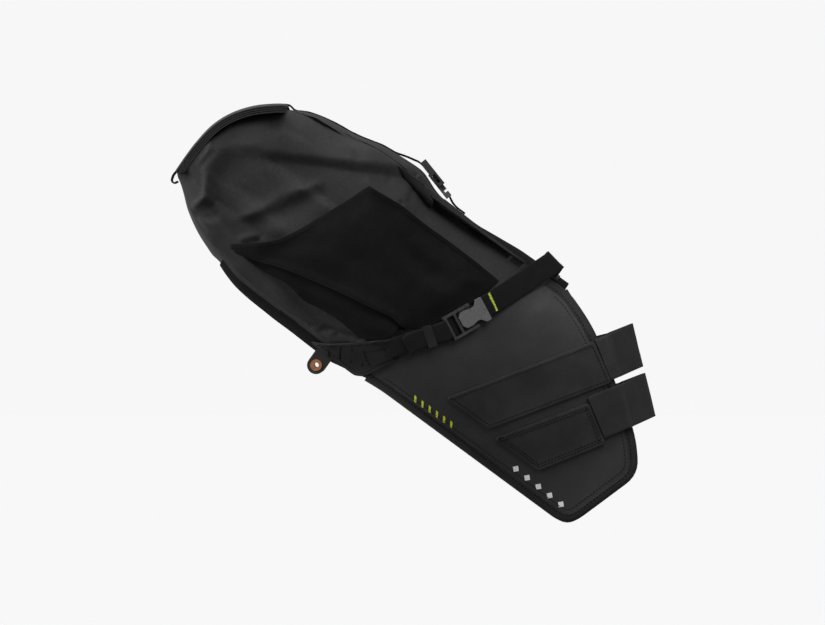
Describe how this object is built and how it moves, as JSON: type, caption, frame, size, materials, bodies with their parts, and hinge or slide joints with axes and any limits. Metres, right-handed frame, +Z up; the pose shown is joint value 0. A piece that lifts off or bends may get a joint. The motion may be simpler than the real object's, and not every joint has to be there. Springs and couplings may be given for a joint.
{
  "type": "saddle bag",
  "caption": "Large roll-top saddle bag with hook-and-loop seatpost straps, rail straps with release buckles, side compression wings and a top closure strap.",
  "frame": {"origin": "on the seatpost's axis, level with the middle of the upper seatpost strap", "axes": "+X forward along the bicycle, +Y to the rider's left, +Z up; the bag slopes up to the rear, towards -X"},
  "size_m": [0.4196, 0.208, 0.3623],
  "materials": {
    "laminated_cloth": "satin",
    "ripstop_cloth": "matte",
    "black_nylon": "matte",
    "hypalon": "matte",
    "binding_tape": "matte",
    "webbing": "matte",
    "hook_tape": "matte",
    "rubber": "matte",
    "buckle_plastic": "satin",
    "male_plastic": "satin",
    "stiffener_board": "matte",
    "copper": "satin"
  },
  "bodies": {
    "root": {"base_panel": "black_nylon", "base_stiffener": "stiffener_board", "buckle_left_male": "male_plastic", "buckle_right_male": "male_plastic", "buckle_top_male": "male_plastic", "compression_wing_left": "black_nylon", "compression_wing_right": "black_nylon", "edge_binding_left": "binding_tape", "edge_binding_right": "binding_tape", "eyelet_tabs": "hypalon", "eyelets": "copper", "front_panel": "black_nylon", "light_loop": "webbing", "post_pad_lower": "rubber", "post_pad_upper": "rubber", "rail_strap_left": "hypalon", "rail_strap_patch_left": "hypalon", "rail_strap_patch_right": "hypalon", "rail_strap_right": "hypalon", "rear_body": "laminated_cloth", "rear_flap": "laminated_cloth", "side_panel_left": "ripstop_cloth", "side_panel_right": "ripstop_cloth", "side_stiffener_left": "stiffener_board", "side_stiffener_right": "stiffener_board", "strap_anchor_lower_left": "hypalon", "strap_anchor_lower_right": "hypalon", "strap_anchor_upper_left": "hypalon", "strap_anchor_upper_right": "hypalon", "strap_base_lower": "hypalon", "strap_base_upper": "hypalon", "top_anchor_loop": "webbing", "top_panel": "black_nylon", "webbing_left": "webbing", "webbing_right": "webbing", "wing_base_left": "hypalon", "wing_base_right": "hypalon"},
    "wrap_upper": {"post_strap_upper": "hypalon"},
    "flap_upper": {"strap_flap_upper": "hypalon", "hook_pad_upper": "hook_tape"},
    "wrap_lower": {"post_strap_lower": "hypalon"},
    "flap_lower": {"strap_flap_lower": "hypalon", "hook_pad_lower": "hook_tape"},
    "clip_left": {"buckle_left_female": "buckle_plastic", "webbing_tail_left": "webbing", "tail_keeper_left": "webbing"},
    "prong_left_a": {"buckle_left_prong_a": "buckle_plastic"},
    "prong_left_b": {"buckle_left_prong_b": "buckle_plastic"},
    "clip_right": {"buckle_right_female": "buckle_plastic", "webbing_tail_right": "webbing", "tail_keeper_right": "webbing"},
    "prong_right_a": {"buckle_right_prong_a": "buckle_plastic"},
    "prong_right_b": {"buckle_right_prong_b": "buckle_plastic"},
    "clip_top": {"buckle_top_female": "buckle_plastic"},
    "prong_top_a": {"buckle_top_prong_a": "buckle_plastic"},
    "prong_top_b": {"buckle_top_prong_b": "buckle_plastic"},
    "closure": {"roll_closure": "laminated_cloth", "closure_stiffener": "stiffener_board", "top_strap": "webbing"}
  },
  "joints": [
    {"name": "strap_upper_swing", "type": "hinge", "parent": "root", "child": "wrap_upper", "pos_m": [0.01127, 0.01027, 0.00279], "axis": [-0.2402, 0, 0.9707], "range_deg": [0, 70]},
    {"name": "strap_upper_peel", "type": "hinge", "parent": "wrap_upper", "child": "flap_upper", "pos_m": [0.01127, -0.01027, 0.00279], "axis": [-0.2402, 0, 0.9707], "range_deg": [0, 110]},
    {"name": "strap_lower_swing", "type": "hinge", "parent": "root", "child": "wrap_lower", "pos_m": [0.02196, 0.01027, -0.04041], "axis": [-0.2402, 0, 0.9707], "range_deg": [0, 70]},
    {"name": "strap_lower_peel", "type": "hinge", "parent": "wrap_lower", "child": "flap_lower", "pos_m": [0.02196, -0.01027, -0.04041], "axis": [-0.2402, 0, 0.9707], "range_deg": [0, 110]},
    {"name": "buckle_left_release", "type": "slide", "parent": "root", "child": "clip_left", "axis": [-0.8187, 0.3286, -0.4709], "range_m": [0, 0.025], "deforming": ["webbing_left"]},
    {"name": "prong_left_a_pinch", "type": "hinge", "parent": "root", "child": "prong_left_a", "pos_m": [-0.12989, 0.07433, 0.03861], "axis": [-0.3325, -0.9399, -0.0778], "range_deg": [0, 5], "stiffness_Nm_per_rad": 0.15},
    {"name": "prong_left_b_pinch", "type": "hinge", "parent": "root", "child": "prong_left_b", "pos_m": [-0.12483, 0.07333, 0.02911], "axis": [-0.3325, -0.9399, -0.0778], "range_deg": [-5, 0], "stiffness_Nm_per_rad": 0.15},
    {"name": "buckle_right_release", "type": "slide", "parent": "root", "child": "clip_right", "axis": [-0.8187, -0.3286, -0.4709], "range_m": [0, 0.025], "deforming": ["webbing_right"]},
    {"name": "prong_right_a_pinch", "type": "hinge", "parent": "root", "child": "prong_right_a", "pos_m": [-0.12989, -0.07433, 0.03861], "axis": [0.3325, -0.9399, 0.0778], "range_deg": [0, 5], "stiffness_Nm_per_rad": 0.15},
    {"name": "prong_right_b_pinch", "type": "hinge", "parent": "root", "child": "prong_right_b", "pos_m": [-0.12483, -0.07333, 0.02911], "axis": [0.3325, -0.9399, 0.0778], "range_deg": [-5, 0], "stiffness_Nm_per_rad": 0.15},
    {"name": "buckle_top_release", "type": "slide", "parent": "closure", "child": "clip_top", "axis": [-0.6252, 0, 0.7804], "range_m": [0, 0.025], "deforming": ["top_strap"]},
    {"name": "prong_top_a_pinch", "type": "hinge", "parent": "root", "child": "prong_top_a", "pos_m": [-0.15522, 0.0054, 0.14312], "axis": [0.7804, 0, 0.6252], "range_deg": [0, 5], "stiffness_Nm_per_rad": 0.15},
    {"name": "prong_top_b_pinch", "type": "hinge", "parent": "root", "child": "prong_top_b", "pos_m": [-0.15522, -0.0054, 0.14312], "axis": [0.7804, 0, 0.6252], "range_deg": [-5, 0], "stiffness_Nm_per_rad": 0.15},
    {"name": "closure_lift", "type": "hinge", "parent": "root", "child": "closure", "pos_m": [-0.37633, 0, 0.168], "axis": [0, -1, 0], "range_deg": [0, 70]}
  ],
  "couplings": [
    {"joint": "prong_left_b_pinch", "follows": "prong_left_a_pinch", "ratio": -1},
    {"joint": "prong_right_b_pinch", "follows": "prong_right_a_pinch", "ratio": -1},
    {"joint": "prong_top_b_pinch", "follows": "prong_top_a_pinch", "ratio": -1}
  ]
}
